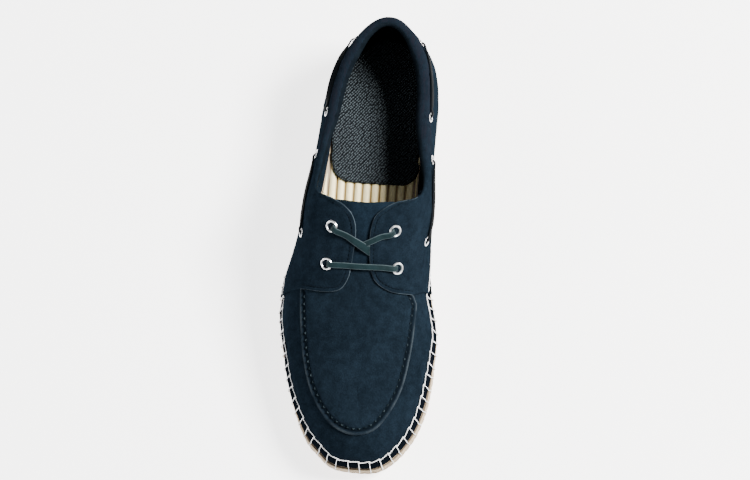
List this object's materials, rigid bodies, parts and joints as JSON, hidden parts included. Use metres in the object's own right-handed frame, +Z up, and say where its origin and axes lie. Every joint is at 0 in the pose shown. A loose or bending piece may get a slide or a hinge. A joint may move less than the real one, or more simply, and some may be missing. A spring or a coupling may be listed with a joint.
{
  "type": "espadrille",
  "caption": "Right low lace-up shoe with a suede boat-shoe upper, moccasin apron, side lacing and a flat jute rope sole.",
  "frame": {"origin": "on the ground under the middle of the shoe's bounding box", "axes": "+Z up, +Y from the toe towards the heel, +X towards the medial side of this right shoe"},
  "size_m": [0.1026, 0.291, 0.0931],
  "materials": {
    "gum_rubber": "matte gum rubber tread",
    "jute": "coiled natural jute braid with a white blanket stitch",
    "sock_leather": "pebbled near-black leather",
    "navy_suede": "dark navy suede, napped and matte",
    "tongue_suede": "dark navy suede, a shade bluer",
    "eyelet_metal": "bright rolled metal",
    "lace": "dark teal flat lace",
    "side_lace": "dark navy-teal flat lace"
  },
  "bodies": {
    "root": {"outsole": "gum_rubber", "jute_midsole": "jute", "insole": "sock_leather", "upper": "navy_suede", "tongue": "tongue_suede", "lace_bar": "lace", "lace_crossing": "lace", "eyelet_front_lateral": "eyelet_metal", "eyelet_rear_lateral": "eyelet_metal", "eyelet_front_medial": "eyelet_metal", "eyelet_rear_medial": "eyelet_metal", "side_eyelet_lateral_1": "eyelet_metal", "side_eyelet_lateral_2": "eyelet_metal", "side_eyelet_lateral_3": "eyelet_metal", "side_eyelet_lateral_4": "eyelet_metal", "side_eyelet_medial_1": "eyelet_metal", "side_eyelet_medial_2": "eyelet_metal", "side_eyelet_medial_3": "eyelet_metal", "side_eyelet_medial_4": "eyelet_metal", "side_lace_lateral_front": "side_lace", "side_lace_lateral_rear": "side_lace", "side_lace_medial_front": "side_lace", "side_lace_medial_rear": "side_lace"}
  },
  "joints": []
}
